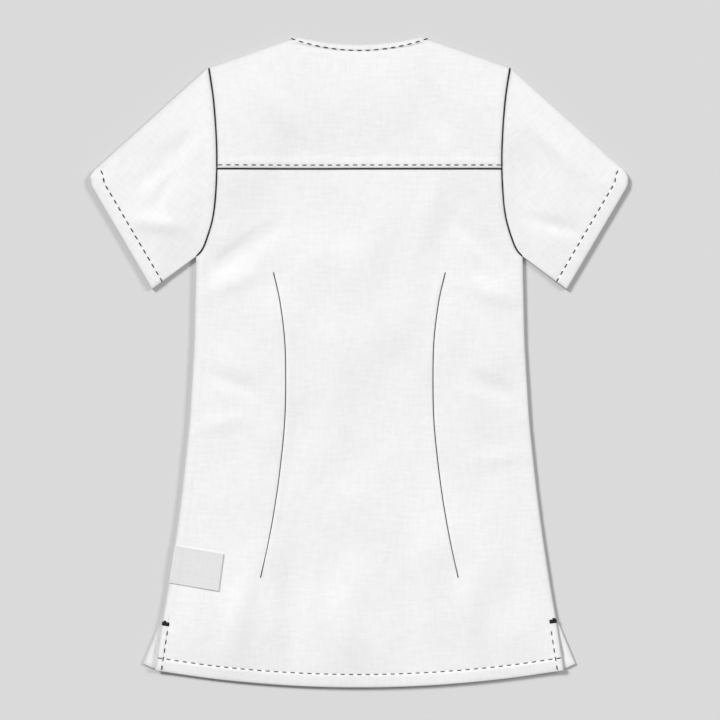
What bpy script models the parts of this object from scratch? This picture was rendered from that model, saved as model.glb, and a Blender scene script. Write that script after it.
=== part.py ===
# Scrub top laid flat with its back uppermost. Metres, +Z up, the neck towards +Y.
# A place on the garment is measured the way a pattern cutter does it: x is the half width from
# the centre line, and drop is the distance below the high shoulder point.
import math

import bmesh
import bpy
from mathutils import Vector

for old in list(bpy.data.objects):
    bpy.data.objects.remove(old, do_unlink=True)

# Driving dimensions
BODY_LENGTH = 0.730  # high shoulder point to the middle of the back hem
CLOTH = 0.0012  # wall of one layer
SEAM_GAP = 0.0003  # clearance between neighbouring pieces
LOFT = 0.0022  # how far the upper layer rises away from the silhouette
LOFT_REACH = 0.075  # distance from the silhouette where the rise is complete
FOLD_ROUND = 0.5 * (2 * CLOTH + SEAM_GAP)  # radius of the turn along a sleeve's fold and seam

# Turned and stitched edges: width of the turning, and how much thicker the cloth is there
HEM_TURN = 0.015
CUFF_TURN = 0.0145
VENT_TURN = 0.0073
NECK_TURN = 0.0076
TURN_THICK = 0.0004
TURN_STEP = 0.0008  # half the width of the step at a turning's inner edge

# Seams and darts sink the upper layer by a share of its rise
SEAM_SINK = 0.32
DART_SINK = 0.22
SINK_WIDTH = 0.0035

# Neck and shoulders
NECK_HALF = 0.0692
NECK_SCOOP = 0.0085  # depth of the back neck at the centre
V_DEPTH = 0.195  # depth of the plain front neck, hidden under the back
SHOULDER_HALF = 0.1688
SHOULDER_DROP = 0.0348
YOKE_DROP = 0.1487

# Hem and side vents
HEM_SCOOP = 0.0193  # how much lower the hem is at the centre than at its corners
HEM_CORNER = (0.2290, BODY_LENGTH - HEM_SCOOP)
VENT_TOP = (0.2196, 0.6481)
FLAP_CORNER = (0.2428, 0.7037)  # the front's own corner, which shows past the back
FRONT_SHORTER = 0.003  # the front hem stays this far inside the back hem at the centre
FLAP_TUCK = 0.0004  # and this far where it goes under the back's corner

# Sleeve, with the fold along the overarm and the seam underneath
CUFF_TIP = (0.3062, 0.1588)  # where fold and cuff would meet in a sharp corner
CUFF_ROUND = 0.0176  # radius of that corner
CUFF_SEAM = (0.2322, 0.2844)  # lower end of the cuff

# Outline curves, one row for each point: (drop, half width)
ARMHOLE = (
    (SHOULDER_DROP, SHOULDER_HALF),
    (0.0718, 0.1634),
    (0.1166, 0.1601),
    (0.1490, 0.1597),
    (0.1839, 0.1615),
    (0.2063, 0.1648),
    (0.2288, 0.1716),
    (0.2400, 0.1766),
    (0.2473, 0.1831),
)
SIDE_SEAM = (
    (0.2473, 0.1831),
    (0.2960, 0.1842),
    (0.3409, 0.1853),
    (0.3857, 0.1878),
    (0.4306, 0.1906),
    (0.4755, 0.1951),
    (0.5203, 0.2002),
    (0.5652, 0.2063),
    (0.6100, 0.2131),
    (VENT_TOP[1], VENT_TOP[0]),
)
BACK_VENT = ((VENT_TOP[1], VENT_TOP[0]), (HEM_CORNER[1], HEM_CORNER[0]))
FRONT_VENT = ((VENT_TOP[1], VENT_TOP[0]), (FLAP_CORNER[1], FLAP_CORNER[0]))
DART = (
    (0.2646, 0.0962),
    (0.2960, 0.0891),
    (0.3409, 0.0835),
    (0.3857, 0.0824),
    (0.4306, 0.0835),
    (0.4755, 0.0877),
    (0.5203, 0.0936),
    (0.5652, 0.1015),
    (0.6067, 0.1107),
)
DART_FADE = 0.030  # length over which a dart's groove fades out at each end
UNDERARM_DROP = ARMHOLE[-1][0]

# Rows and columns of the meshes, besides those that the seams and turnings need
NECK_COLUMNS = 4  # centre line to neck point
SHOULDER_COLUMNS = 4  # neck point to armhole, on the yoke
SIDE_COLUMNS = 5  # neck point to side, on the front
DART_COLUMNS = 3  # centre line to dart, and dart to side
YOKE_ROWS = 5  # shoulder to yoke seam
ARMHOLE_ROWS = 8  # yoke seam to underarm
BACK_ROWS = 14  # underarm to vent
FRONT_ROWS = 11
FRONT_VENT_ROWS = 3
SLEEVE_ROWS = 6
CORNER_STEPS = 3  # each half of a cuff's round corner
NECK_TURN_FADE = 0.055  # the neck's turning fades out over this share of the yoke's half width
SLEEVE_FIRST_ROW = 0.13  # share of the sleeve's length
TINY = 1e-6  # points this close are one point

# Label caught in the left side seam: its corners as (x, drop), from the seam's upper end round
LABEL_CORNERS = ((-0.2066, 0.5705), (-0.1518, 0.5797), (-0.1574, 0.6218), (-0.2130, 0.6126))
LABEL_THICK = 0.0010
LABEL_COLUMNS = 6
LABEL_ROWS = 5


def curve_at(table, drop):
    """Half width at a drop, on a cubic through the table's rows."""
    drop = min(max(drop, table[0][0]), table[-1][0])
    span = next(i for i in range(len(table) - 1) if drop <= table[i + 1][0])
    slopes = []
    for i in (span, span + 1):
        before = table[max(i - 1, 0)]
        after = table[min(i + 1, len(table) - 1)]
        slopes.append((after[1] - before[1]) / (after[0] - before[0]))
    (drop_0, half_0), (drop_1, half_1) = table[span], table[span + 1]
    length = drop_1 - drop_0
    t = (drop - drop_0) / length
    return (
        half_0 * (1 + 2 * t) * (1 - t) ** 2
        + half_1 * t * t * (3 - 2 * t)
        + length * t * (1 - t) * (slopes[0] * (1 - t) - slopes[1] * t)
    )


def shares(start, end, steps):
    """Equal steps from start up to end, without end itself."""
    return [start + (end - start) * i / steps for i in range(steps)]


# Body and sleeves share these points of the armhole seam, so that their edges stay parallel
YOKE_STEPS = shares(SHOULDER_DROP, YOKE_DROP, YOKE_ROWS)
ARMHOLE_STEPS = YOKE_STEPS + shares(YOKE_DROP, UNDERARM_DROP, ARMHOLE_ROWS) + [UNDERARM_DROP]


def armhole_edge(drop, side):
    """The armhole seam's half width, moved half the seam gap out (side 1) or in (side -1)."""
    below = next((i for i, at in enumerate(ARMHOLE_STEPS) if at >= drop), -1)
    ends = ARMHOLE_STEPS[below - 1], ARMHOLE_STEPS[below]
    if below == 0:
        ends = ARMHOLE_STEPS[:2]
    lean = (curve_at(ARMHOLE, ends[1]) - curve_at(ARMHOLE, ends[0])) / (ends[1] - ends[0])
    half = curve_at(ARMHOLE, ends[0]) + (drop - ends[0]) * lean
    return half + side * 0.5 * SEAM_GAP * math.hypot(1, lean)


def body_edge(drop, vent):
    """Half width of a body panel at a drop: armhole, side seam, then its own vent edge."""
    if drop <= UNDERARM_DROP:
        return armhole_edge(drop, -1)
    if drop <= VENT_TOP[1]:
        return curve_at(SIDE_SEAM, drop)
    return curve_at(vent, drop)


def back_hem(x):
    return BODY_LENGTH - HEM_SCOOP * (x / HEM_CORNER[0]) ** 2


def shoulder_line(x):
    share = (x - NECK_HALF) / (SHOULDER_HALF - NECK_HALF)
    return SHOULDER_DROP * share


def back_top(x):
    return NECK_SCOOP * (1 - (x / NECK_HALF) ** 2) if x < NECK_HALF else shoulder_line(x)


def front_top(x):
    return V_DEPTH * (1 - x / NECK_HALF) if x < NECK_HALF else shoulder_line(x)


SILHOUETTE = [
    Vector(corner)
    for corner in (
        (0, NECK_SCOOP),
        (NECK_HALF, 0),
        (SHOULDER_HALF, SHOULDER_DROP),
        CUFF_TIP,
        CUFF_SEAM,
        (SIDE_SEAM[0][1], UNDERARM_DROP),
        (SIDE_SEAM[3][1], SIDE_SEAM[3][0]),
        (SIDE_SEAM[6][1], SIDE_SEAM[6][0]),
        VENT_TOP,
        HEM_CORNER,
        (0.5 * HEM_CORNER[0], back_hem(0.5 * HEM_CORNER[0])),
        (0, BODY_LENGTH),
    )
]


def rise(x, drop):
    """Height of the upper layer over its lowest place, from nothing at the silhouette."""
    spot = Vector((abs(x), drop))
    nearest = LOFT_REACH
    for start, end in zip(SILHOUETTE, SILHOUETTE[1:]):
        along = end - start
        share = (spot - start).dot(along) / along.length_squared
        nearest = min(nearest, (start + along * min(max(share, 0), 1) - spot).length)
    return LOFT * (1 - (1 - nearest / LOFT_REACH) ** 2)


def sink(x, drop):
    """Share of the rise that is lost at the yoke seam, the armhole seams and the darts."""
    half = abs(x)
    seams = [abs(drop - YOKE_DROP)] if half < SHOULDER_HALF else []
    if drop < UNDERARM_DROP:
        seams.append(abs(half - curve_at(ARMHOLE, drop)))
    seam = max([0] + [1 - distance / SINK_WIDTH for distance in seams])
    from_end = min(drop - DART[0][0], DART[-1][0] - drop)
    fade = min(max(from_end / DART_FADE, 0), 1)
    dart = max(0, 1 - abs(half - curve_at(DART, drop)) / SINK_WIDTH) * fade
    return max(SEAM_SINK * seam, DART_SINK * dart)


def upper_face(x, drop):
    """Height of the garment's upper surface, without any turning."""
    return 2 * CLOTH + SEAM_GAP + rise(x, drop) * (1 - sink(x, drop))


def cloth_material(name, colour):
    material = bpy.data.materials.new(name)
    material.use_nodes = True
    shader = material.node_tree.nodes["Principled BSDF"]
    shader.inputs["Base Color"].default_value = (*colour, 1)
    shader.inputs["Roughness"].default_value = 0.85
    shader.inputs["Metallic"].default_value = 0
    return material


def finish(name, shape, material):
    bmesh.ops.remove_doubles(shape, verts=shape.verts[:], dist=TINY)
    bmesh.ops.recalc_face_normals(shape, faces=shape.faces[:])
    mesh = bpy.data.meshes.new(name)
    shape.to_mesh(mesh)
    shape.free()
    mesh.materials.append(material)
    piece = bpy.data.objects.new(name, mesh)
    bpy.context.scene.collection.objects.link(piece)


def placed_grid(columns, rows, place):
    """A grid of columns by rows of points, each put where place(column, row) says."""
    grid = bmesh.new()
    bmesh.ops.create_grid(grid, x_segments=columns - 1, y_segments=rows - 1, size=0.5)
    for vert in grid.verts:
        column = round((vert.co.x + 0.5) * (columns - 1))
        row = round((0.5 - vert.co.y) * (rows - 1))
        vert.co = place(column, row)
    return grid


def to_row_frame(x, drop, height=0.0):
    return Vector((x, 0.5 * BODY_LENGTH - drop, height))


def cloth_wall(name, sheet, faces, material):
    """Gives a flat sheet its wall: faces(x, drop) is the heights of its two sides."""
    walls = bmesh.ops.extrude_face_region(sheet, geom=sheet.faces[:])
    upper = {item for item in walls["geom"] if isinstance(item, bmesh.types.BMVert)}
    for vert in sheet.verts:
        heights = faces(vert.co.x, 0.5 * BODY_LENGTH - vert.co.y)
        vert.co.z = heights[vert in upper]
    finish(name, sheet, material)


def body_panel(name, columns, rows, place, faces, material):
    """A panel that is the same on both sides of the centre line."""
    sheet = placed_grid(columns, rows, lambda column, row: to_row_frame(*place(column, row)))
    half = sheet.verts[:] + sheet.edges[:] + sheet.faces[:]
    bmesh.ops.mirror(sheet, geom=half, axis="X", merge_dist=TINY)
    bmesh.ops.recalc_face_normals(sheet, faces=sheet.faces[:])
    cloth_wall(name, sheet, faces, material)


def make_yoke(material):
    bottom = YOKE_DROP - 0.5 * SEAM_GAP
    neck_share = NECK_HALF / SHOULDER_HALF
    ditch_share = 1 - SINK_WIDTH / SHOULDER_HALF
    across = shares(0, neck_share, NECK_COLUMNS) + [neck_share]
    across += shares(neck_share + NECK_TURN_FADE, ditch_share, SHOULDER_COLUMNS) + [ditch_share, 1]
    depth = bottom - 0.5 * NECK_SCOOP
    down = [0, (NECK_TURN - TURN_STEP) / depth, (NECK_TURN + TURN_STEP) / depth]
    down += [(drop - SHOULDER_DROP) / (bottom - SHOULDER_DROP) for drop in YOKE_STEPS[1:]]
    down += [1 - SINK_WIDTH / depth, 1]

    def place(column, row):
        share, fall = across[column], down[row]
        top = back_top(share * SHOULDER_HALF)
        side_drop = SHOULDER_DROP * (1 - fall) + bottom * fall
        return share * armhole_edge(side_drop, -1), top * (1 - fall) + bottom * fall

    def faces(x, drop):
        upper = upper_face(x, drop)
        from_neck = drop - back_top(abs(x))
        turned = abs(x) < NECK_HALF + TINY and from_neck < NECK_TURN
        return upper - CLOTH, upper + TURN_THICK * turned

    body_panel("back_yoke", len(across), len(down), place, faces, material)


def make_back(material):
    top = YOKE_DROP + 0.5 * SEAM_GAP
    depth = HEM_CORNER[1] - top
    drops = [top, top + SINK_WIDTH] + ARMHOLE_STEPS[len(YOKE_STEPS) + 1 : -1]
    drops += shares(UNDERARM_DROP, VENT_TOP[1], BACK_ROWS) + [VENT_TOP[1]]
    vent_start, turn_line = VENT_TOP[1] + TURN_STEP, HEM_CORNER[1] - HEM_TURN
    drops += shares(vent_start, turn_line - TURN_STEP, 2)
    drops += [turn_line - TURN_STEP, turn_line + TURN_STEP, HEM_CORNER[1]]
    dart_share = DART[-1][1] / HEM_CORNER[0]
    groove = 3  # columns of a dart: its line, and one at each side
    edges = (VENT_TURN + TURN_STEP, VENT_TURN - TURN_STEP, 0)
    columns = DART_COLUMNS + groove + DART_COLUMNS + len(edges)

    def place(column, row):
        side_drop = drops[row]
        fall = (side_drop - top) / depth
        side = body_edge(side_drop, BACK_VENT)

        def drop_at(share):
            return top + (back_hem(share * HEM_CORNER[0]) - top) * fall

        dart_drop = drop_at(dart_share)
        dart = curve_at(DART, dart_drop)
        if column < DART_COLUMNS:
            share = column / DART_COLUMNS
            return dart * share, drop_at(dart_share * share)
        if column < DART_COLUMNS + groove:
            return dart + (column - DART_COLUMNS - 1) * SINK_WIDTH, dart_drop
        if column < columns - len(edges):
            share = (column - DART_COLUMNS - groove + 1) / (DART_COLUMNS + 1)
            return dart + (side - dart) * share, drop_at(dart_share + (1 - dart_share) * share)
        from_edge = edges[column - columns]
        return side - from_edge, drop_at(1 - from_edge / side)

    def faces(x, drop):
        upper = upper_face(x, drop)
        at_hem = back_hem(abs(x)) - drop < HEM_TURN
        below_top = drop > VENT_TOP[1] + 0.5 * TURN_STEP
        at_vent = below_top and curve_at(BACK_VENT, drop) - abs(x) < VENT_TURN
        return upper - CLOTH, upper + TURN_THICK * (at_hem or at_vent)

    body_panel("back_panel", columns, len(drops), place, faces, material)


def make_front(material):
    neck_share = NECK_HALF / SHOULDER_HALF
    under_back = HEM_CORNER[0] / FLAP_CORNER[0]
    across = shares(0, neck_share, NECK_COLUMNS) + shares(neck_share, under_back, SIDE_COLUMNS)
    across += [under_back, 1]
    drops = ARMHOLE_STEPS[:-1] + shares(UNDERARM_DROP, VENT_TOP[1], FRONT_ROWS)
    drops += shares(VENT_TOP[1], FLAP_CORNER[1], FRONT_VENT_ROWS) + [FLAP_CORNER[1]]

    def front_hem(x):
        """Just inside the back hem, then straight up to the flap's corner."""
        tuck = FLAP_TUCK + (FRONT_SHORTER - FLAP_TUCK) * (1 - (x / HEM_CORNER[0]) ** 2)
        if x <= HEM_CORNER[0]:
            return back_hem(x) - tuck
        share = (x - HEM_CORNER[0]) / (FLAP_CORNER[0] - HEM_CORNER[0])
        return (HEM_CORNER[1] - FLAP_TUCK) * (1 - share) + FLAP_CORNER[1] * share

    def place(column, row):
        share, side_drop = across[column], drops[row]
        x = share * body_edge(side_drop, FRONT_VENT)
        if side_drop <= UNDERARM_DROP:
            fall = (side_drop - SHOULDER_DROP) / (UNDERARM_DROP - SHOULDER_DROP)
            return x, front_top(share * SHOULDER_HALF) * (1 - fall) + UNDERARM_DROP * fall
        fall = (side_drop - UNDERARM_DROP) / (FLAP_CORNER[1] - UNDERARM_DROP)
        return x, UNDERARM_DROP + (front_hem(share * FLAP_CORNER[0]) - UNDERARM_DROP) * fall

    def faces(x, drop):
        return 0, CLOTH

    body_panel("front_panel", len(across), len(drops), place, faces, material)


def armhole_point(drop):
    return Vector((armhole_edge(drop, 1), drop))


def corner_arc():
    """The cuff's round corner: its centre, its middle, and its first and last point."""
    tip = Vector(CUFF_TIP)
    to_shoulder = (Vector((SHOULDER_HALF, SHOULDER_DROP)) - tip).normalized()
    to_seam = (Vector(CUFF_SEAM) - tip).normalized()
    half_angle = 0.5 * to_shoulder.angle(to_seam)
    centre = tip + (to_shoulder + to_seam).normalized() * CUFF_ROUND / math.sin(half_angle)
    middle = centre + (tip - centre).normalized() * CUFF_ROUND
    reach = CUFF_ROUND / math.tan(half_angle)
    return centre, middle, tip + to_shoulder * reach, tip + to_seam * reach


def through_arc(points, centre, start, end, steps):
    """Adds points on the arc about centre from start to end, both included."""
    first, last = start - centre, end - centre
    turn = first.angle_signed(last)
    for i in range(steps + 1):
        bend = -turn * i / steps
        cosine, sine = math.cos(bend), math.sin(bend)
        across = Vector((-first.y, first.x))
        points.append(centre + first * cosine + across * sine)


def along_path(points, share):
    """The place a share of the way along a run of straight lengths."""
    lengths = [(end - start).length for start, end in zip(points, points[1:])]
    left = share * sum(lengths)
    for start, end, length in zip(points, points[1:], lengths):
        if left <= length:
            return start.lerp(end, left / length)
        left -= length
    return points[-1].copy()


def make_sleeve(name, hand, material):
    """A tube of cloth folded flat: its outer skin runs from armhole to cuff, its inner skin back."""
    centre, middle, fold_end, cuff_start = corner_arc()
    shoulder = armhole_point(SHOULDER_DROP)
    underarm = armhole_point(UNDERARM_DROP)
    fold_path = [shoulder]
    through_arc(fold_path, centre, fold_end, middle, CORNER_STEPS)
    cuff_path = []
    through_arc(cuff_path, centre, middle, cuff_start, CORNER_STEPS)
    cuff_path.append(Vector(CUFF_SEAM))
    # Towards the tube's inside from the fold and from the seam: along the armhole there, square
    # to the edge at the cuff
    seam_end = Vector(CUFF_SEAM)
    from_fold = (armhole_point(ARMHOLE_STEPS[1]) - shoulder, (fold_end - shoulder).orthogonal())
    from_seam = (armhole_point(ARMHOLE_STEPS[-2]) - underarm, (underarm - seam_end).orthogonal())

    def patch(s, t):
        """Coons patch: s from fold to underarm seam, t from armhole to cuff."""
        armhole = armhole_point(SHOULDER_DROP + (UNDERARM_DROP - SHOULDER_DROP) * s)
        sides = along_path(fold_path, t) * (1 - s) + underarm.lerp(seam_end, t) * s
        ends = armhole * (1 - t) + along_path(cuff_path, s) * t
        corners = shoulder.lerp(underarm, s) * (1 - t) + middle.lerp(seam_end, s) * t
        return sides + ends - corners

    length = sum((end - start).length for start, end in zip(fold_path, fold_path[1:]))
    step = TURN_STEP / length
    turn_line = 1 - CUFF_TURN / length  # where the cuff's turning starts, as a share of the length
    down = [0, SINK_WIDTH / length] + shares(SLEEVE_FIRST_ROW, turn_line - step, SLEEVE_ROWS)
    down += [turn_line - step, turn_line + step, 0.5 * (turn_line + 1), 1]
    across = [(drop - SHOULDER_DROP) / (UNDERARM_DROP - SHOULDER_DROP) for drop in ARMHOLE_STEPS[1:-1]]
    skins = [(t, 1) for t in down] + [(t, 0) for t in reversed(down)] + [(down[0], 1)]

    # Each ring: fold end, upper side, seam end, lower side, and back to the fold end. A point is
    # its share of the way to the seam, its place in an end's turn from the edge inwards, or None
    # between the turns, and its height as a share of the tube's.
    turn = [(0.0, 0.5), (0.3, 0.85), (1.0, 1.0)]
    upper_end = [(0, inset, lift) for inset, lift in turn] + [(s, None, 1) for s in across]
    upper_end += [(1, inset, lift) for inset, lift in reversed(turn)]
    lower_end = [(1, inset, 1 - lift) for inset, lift in turn[1:]]
    lower_end += [(s, None, 0) for s in reversed(across)]
    lower_end += [(0, inset, 1 - lift) for inset, lift in reversed(turn)]
    ring = upper_end + lower_end

    def place(column, row):
        s, inset, lift = ring[column]
        t, outer = skins[row]
        spot = patch(s, t)
        if inset is not None:
            at_arm, at_cuff = from_seam if s else from_fold
            inwards = at_arm.normalized().lerp(at_cuff.normalized(), t).normalized()
            spot = spot + inwards * FOLD_ROUND * (inset if outer else 1)
        top = upper_face(spot.x, spot.y)
        turned = TURN_THICK * (t > turn_line)
        if outer:
            height = (top + turned) * lift
        else:
            at_end = inset is not None and inset < 1
            height = CLOTH + (top - 2 * CLOTH) * (0.5 if at_end else lift)
        return to_row_frame(hand * spot.x, spot.y, height)

    finish(name, placed_grid(len(ring), len(skins), place), material)


def make_label(material):
    """Lies on the back panel, one seam gap above it, with one end in the side seam."""
    corners = [Vector(corner) for corner in LABEL_CORNERS]

    def place(column, row):
        across, down = column / (LABEL_COLUMNS - 1), row / (LABEL_ROWS - 1)
        upper = corners[0].lerp(corners[1], across)
        lower = corners[3].lerp(corners[2], across)
        return to_row_frame(*upper.lerp(lower, down))

    def faces(x, drop):
        under = upper_face(x, drop) + SEAM_GAP
        return under, under + LABEL_THICK

    cloth_wall("side_label", placed_grid(LABEL_COLUMNS, LABEL_ROWS, place), faces, material)


white = cloth_material("white_cloth", (0.80, 0.80, 0.80))
grey = cloth_material("grey_label", (0.62, 0.62, 0.62))
make_front(white)
make_yoke(white)
make_back(white)
make_sleeve("sleeve_left", -1, white)
make_sleeve("sleeve_right", 1, white)
make_label(grey)
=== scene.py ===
# Scrub top laid flat with its back uppermost: cloth, sewing, light and camera. Metres.
# A place is given as x from the centre line and drop below the high shoulder point.
import math

import bmesh
import bpy
from mathutils import Matrix, Vector, noise


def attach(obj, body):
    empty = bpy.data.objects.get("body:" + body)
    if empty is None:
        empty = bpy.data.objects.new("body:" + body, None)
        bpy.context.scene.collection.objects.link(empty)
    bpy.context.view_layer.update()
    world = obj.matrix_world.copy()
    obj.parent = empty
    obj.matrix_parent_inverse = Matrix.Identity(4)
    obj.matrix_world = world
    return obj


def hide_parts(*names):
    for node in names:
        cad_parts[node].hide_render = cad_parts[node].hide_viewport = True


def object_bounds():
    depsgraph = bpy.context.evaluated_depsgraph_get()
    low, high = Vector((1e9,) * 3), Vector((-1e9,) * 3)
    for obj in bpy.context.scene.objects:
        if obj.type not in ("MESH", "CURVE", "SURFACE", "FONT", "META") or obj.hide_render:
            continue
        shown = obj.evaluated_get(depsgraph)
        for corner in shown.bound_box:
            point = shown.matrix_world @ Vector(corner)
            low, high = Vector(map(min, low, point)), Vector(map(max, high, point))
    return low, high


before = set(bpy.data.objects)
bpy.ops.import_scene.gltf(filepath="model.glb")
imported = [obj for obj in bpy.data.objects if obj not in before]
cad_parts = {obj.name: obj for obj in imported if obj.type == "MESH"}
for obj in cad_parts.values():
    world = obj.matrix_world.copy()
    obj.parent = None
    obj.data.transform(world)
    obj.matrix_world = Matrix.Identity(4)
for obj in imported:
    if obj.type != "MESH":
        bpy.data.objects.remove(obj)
cadLow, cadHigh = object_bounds()
print("frame with", len(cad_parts), "solids")

camera = {
    "aim": (0.0007, 0.0021),  # the point under the lens
    "frameWidth": 0.8074,  # width of the view where the garment lies
    "lens": 120,
    "sensor": 36,
    "farthest": 20,
}


def addObject(name, data):
    added = bpy.data.objects.new(name, data)
    bpy.context.scene.collection.objects.link(added)
    return added


def makeCamera():
    data = bpy.data.cameras.new("camera")
    data.lens = camera["lens"]
    data.sensor_width = camera["sensor"]
    data.clip_end = camera["farthest"]
    eye = addObject("camera", data)
    eye.location = (*camera["aim"], camera["frameWidth"] * camera["lens"] / camera["sensor"])
    bpy.context.scene.camera = eye


makeCamera()
print("camera placed")

# The cut, as the solids have it
pattern = {
    "length": 0.730,  # high shoulder point to the middle of the back hem
    "neckHalf": 0.0692,
    "neckScoop": 0.0085,  # depth of the back neck at the centre
    "vDepth": 0.195,  # plain front neck, hidden under the back
    "shoulder": (0.1688, 0.0348),
    "yokeDrop": 0.1487,
    "hemScoop": 0.0193,  # how much lower the hem is at the centre than at its corners
    "hemCorner": (0.2290, 0.7107),
    "ventTop": (0.2196, 0.6481),
    "flapCorner": (0.2428, 0.7037),  # the front's own corner, past the back
    "frontShorter": 0.003,  # the front hem stays this far inside the back hem at the centre
    "flapTuck": 0.0004,  # and this far under the back's corner
    "cuffTip": (0.3062, 0.1588),  # where fold and cuff would meet in a sharp corner
    "cuffRound": 0.0176,  # radius of that corner
    "cuffSeam": (0.2322, 0.2844),  # the cuff's lower end
}
# Outline curves, one row for each point: (drop, half width)
armholeLine = (
    pattern["shoulder"][::-1],
    (0.0718, 0.1634),
    (0.1166, 0.1601),
    (0.1490, 0.1597),
    (0.1839, 0.1615),
    (0.2063, 0.1648),
    (0.2288, 0.1716),
    (0.2400, 0.1766),
    (0.2473, 0.1831),
)
sideLine = (
    armholeLine[-1],
    (0.2960, 0.1842),
    (0.3409, 0.1853),
    (0.3857, 0.1878),
    (0.4306, 0.1906),
    (0.4755, 0.1951),
    (0.5203, 0.2002),
    (0.5652, 0.2063),
    (0.6100, 0.2131),
    pattern["ventTop"][::-1],
)
dartLine = (
    (0.2646, 0.0962),
    (0.2960, 0.0891),
    (0.3409, 0.0835),
    (0.3857, 0.0824),
    (0.4306, 0.0835),
    (0.4755, 0.0877),
    (0.5203, 0.0936),
    (0.5652, 0.1015),
    (0.6067, 0.1107),
)
backVent = (pattern["ventTop"][::-1], pattern["hemCorner"][::-1])
frontVent = (pattern["ventTop"][::-1], pattern["flapCorner"][::-1])
underarmDrop = armholeLine[-1][0]
samePoint = 1e-7  # points this close are one

cloth = {
    "thick": 0.0012,
    "gap": 0.0003,  # between neighbouring pieces
    "loft": 0.0022,  # rise of the upper layer away from the silhouette
    "leastLoft": 0.0008,
    "reach": 0.075,  # distance from the silhouette where the rise is complete
    "neckStep": 0.006,  # the neck's curve is followed in steps of this length
    "ventLift": 0.0012,  # how far the back stands off the front's flap at a vent
    "ventLiftWide": 0.012,
    "ventOpens": (0.004, 0.015),  # from this far below the vent's top to this far above the hem
    "turnThick": 0.0005,  # added by a turned and stitched edge
    "cell": 0.0035,  # columns and rows are this close, or closer
    "paintedEdgeShade": 1.0,  # painted shade along an edge, where its rim turns from the light, and how far in it fades
    "edgeFade": 0.0011,
    "paintedInsideShade": 0.25,  # painted shade on the cloth's inner side, as where the flap lies under the back
}
# Width of each turned edge, up to its stitches, and of the cloth inside the seams
turning = {"hem": 0.0148, "cuff": 0.0145, "vent": 0.0073, "neck": 0.0076, "yoke": 0.0041}
allowance = {"yoke": 0.0095, "side": 0.0095, "armhole": 0.0090, "dart": 0.0070}
# Columns and rows by their distance from an edge, closest where the cloth turns over
rimSteps = (0, 0.00012, 0.00035, 0.0007)
seamSteps = rimSteps + (0.0013, 0.0022, 0.0033, 0.0036, 0.0041, 0.0046, 0.0058, 0.0078, 0.0095, 0.0120)
sideSteps = rimSteps + (0.0013, 0.0025, 0.0045, 0.0062, 0.0069, 0.0073, 0.0077, 0.0085, 0.0105, 0.0130)
hemSteps = rimSteps + (0.0015, 0.0035, 0.0070, 0.0110)
hemSteps += (0.0138, 0.0144, 0.0148, 0.0152, 0.0160, 0.0180, 0.0210)
# Soft relief, in heights and widths of its own
relief = {
    "slowWave": (0.0026, 0.10, 0.13),  # height, length across, length down
    "quickWave": (0.0012, 0.040, 0.055),
    "pucker": 0.0003,  # small waves that a row of stitches draws up
    "puckerLong": 0.008,  # along the row, across it, and how far out they fade
    "puckerWide": 0.021,
    "puckerFade": 0.007,
    "creaseEnds": 0.1,  # a crease starts and ends at this share of a half wave
    "seamDip": 0.0004,  # the ditch of a seam, and its half width
    "seamHalf": 0.0022,
    "stitchDip": 0.0002,  # the groove of a row of stitches, and its half width
    "stitchHalf": 0.0006,
    "dartDip": 0.0005,
    "dartHalf": 0.0011,
    "dartFade": (-0.004, 0.030),  # a dart starts this far outside its end, and is full this far inside
    "dartFold": 0.001,  # width of the step up to the fold inside it
    "allowance": 0.0003,  # rise over the seam allowances inside
    "step": 0.0020,  # how far the cloth takes to come down past them
    "turnStep": 0.0012,  # and past a turned edge
}
# Where each set of waves and puckers is read in the noise
seeds = {
    "slowWave": 3.1,
    "quickWave": 7.7,
    "yoke": 1.3,
    "armhole": 2.9,
    "sleeve": 3.3,
    "side": 4.7,
    "cuff": 5.7,
    "dart": 6.1,
    "neck": 8.1,
    "hem": 9.3,
}


# Half width at a drop, on a smooth curve through the table's rows.
def curveAt(table, drop):
    drop = min(max(drop, table[0][0]), table[-1][0])
    span = next(i for i in range(len(table) - 1) if drop <= table[i + 1][0])
    slopes = []
    for i in (span, span + 1):
        before, after = table[max(i - 1, 0)], table[min(i + 1, len(table) - 1)]
        slopes.append((after[1] - before[1]) / (after[0] - before[0]))
    (startDrop, startHalf), (endDrop, endHalf) = table[span], table[span + 1]
    reach = endDrop - startDrop
    t = (drop - startDrop) / reach
    return (
        startHalf * (1 + 2 * t) * (1 - t) ** 2
        + endHalf * t * t * (3 - 2 * t)
        + reach * t * (1 - t) * (slopes[0] * (1 - t) - slopes[1] * t)
    )


# The armhole seam's half width, moved half the gap out (side 1) or in (side -1).
def armholeEdge(drop, side):
    near = 0.0005
    lean = (curveAt(armholeLine, drop + near) - curveAt(armholeLine, drop - near)) / (2 * near)
    return curveAt(armholeLine, drop) + side * 0.5 * cloth["gap"] * math.hypot(1, lean)


def bodyEdge(drop, vent):
    if drop <= underarmDrop:
        return armholeEdge(drop, -1)
    return curveAt(sideLine if drop <= pattern["ventTop"][1] else vent, drop)


def backHem(x):
    return pattern["length"] - pattern["hemScoop"] * (x / pattern["hemCorner"][0]) ** 2


# Just inside the back hem, then straight up to the flap's corner.
def frontHem(x):
    corner = pattern["hemCorner"]
    if x <= corner[0]:
        spare = pattern["frontShorter"] - pattern["flapTuck"]
        return backHem(x) - pattern["flapTuck"] - spare * (1 - (x / corner[0]) ** 2)
    share = (x - corner[0]) / (pattern["flapCorner"][0] - corner[0])
    return (corner[1] - pattern["flapTuck"]) * (1 - share) + pattern["flapCorner"][1] * share


def topEdge(x, neckDepth, power):
    neck, (shoulderHalf, shoulderDrop) = pattern["neckHalf"], pattern["shoulder"]
    if x < neck:
        return neckDepth * (1 - (x / neck) ** power)
    return shoulderDrop * (x - neck) / (shoulderHalf - neck)


def backTop(x):
    return topEdge(x, pattern["neckScoop"], 2)


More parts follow.
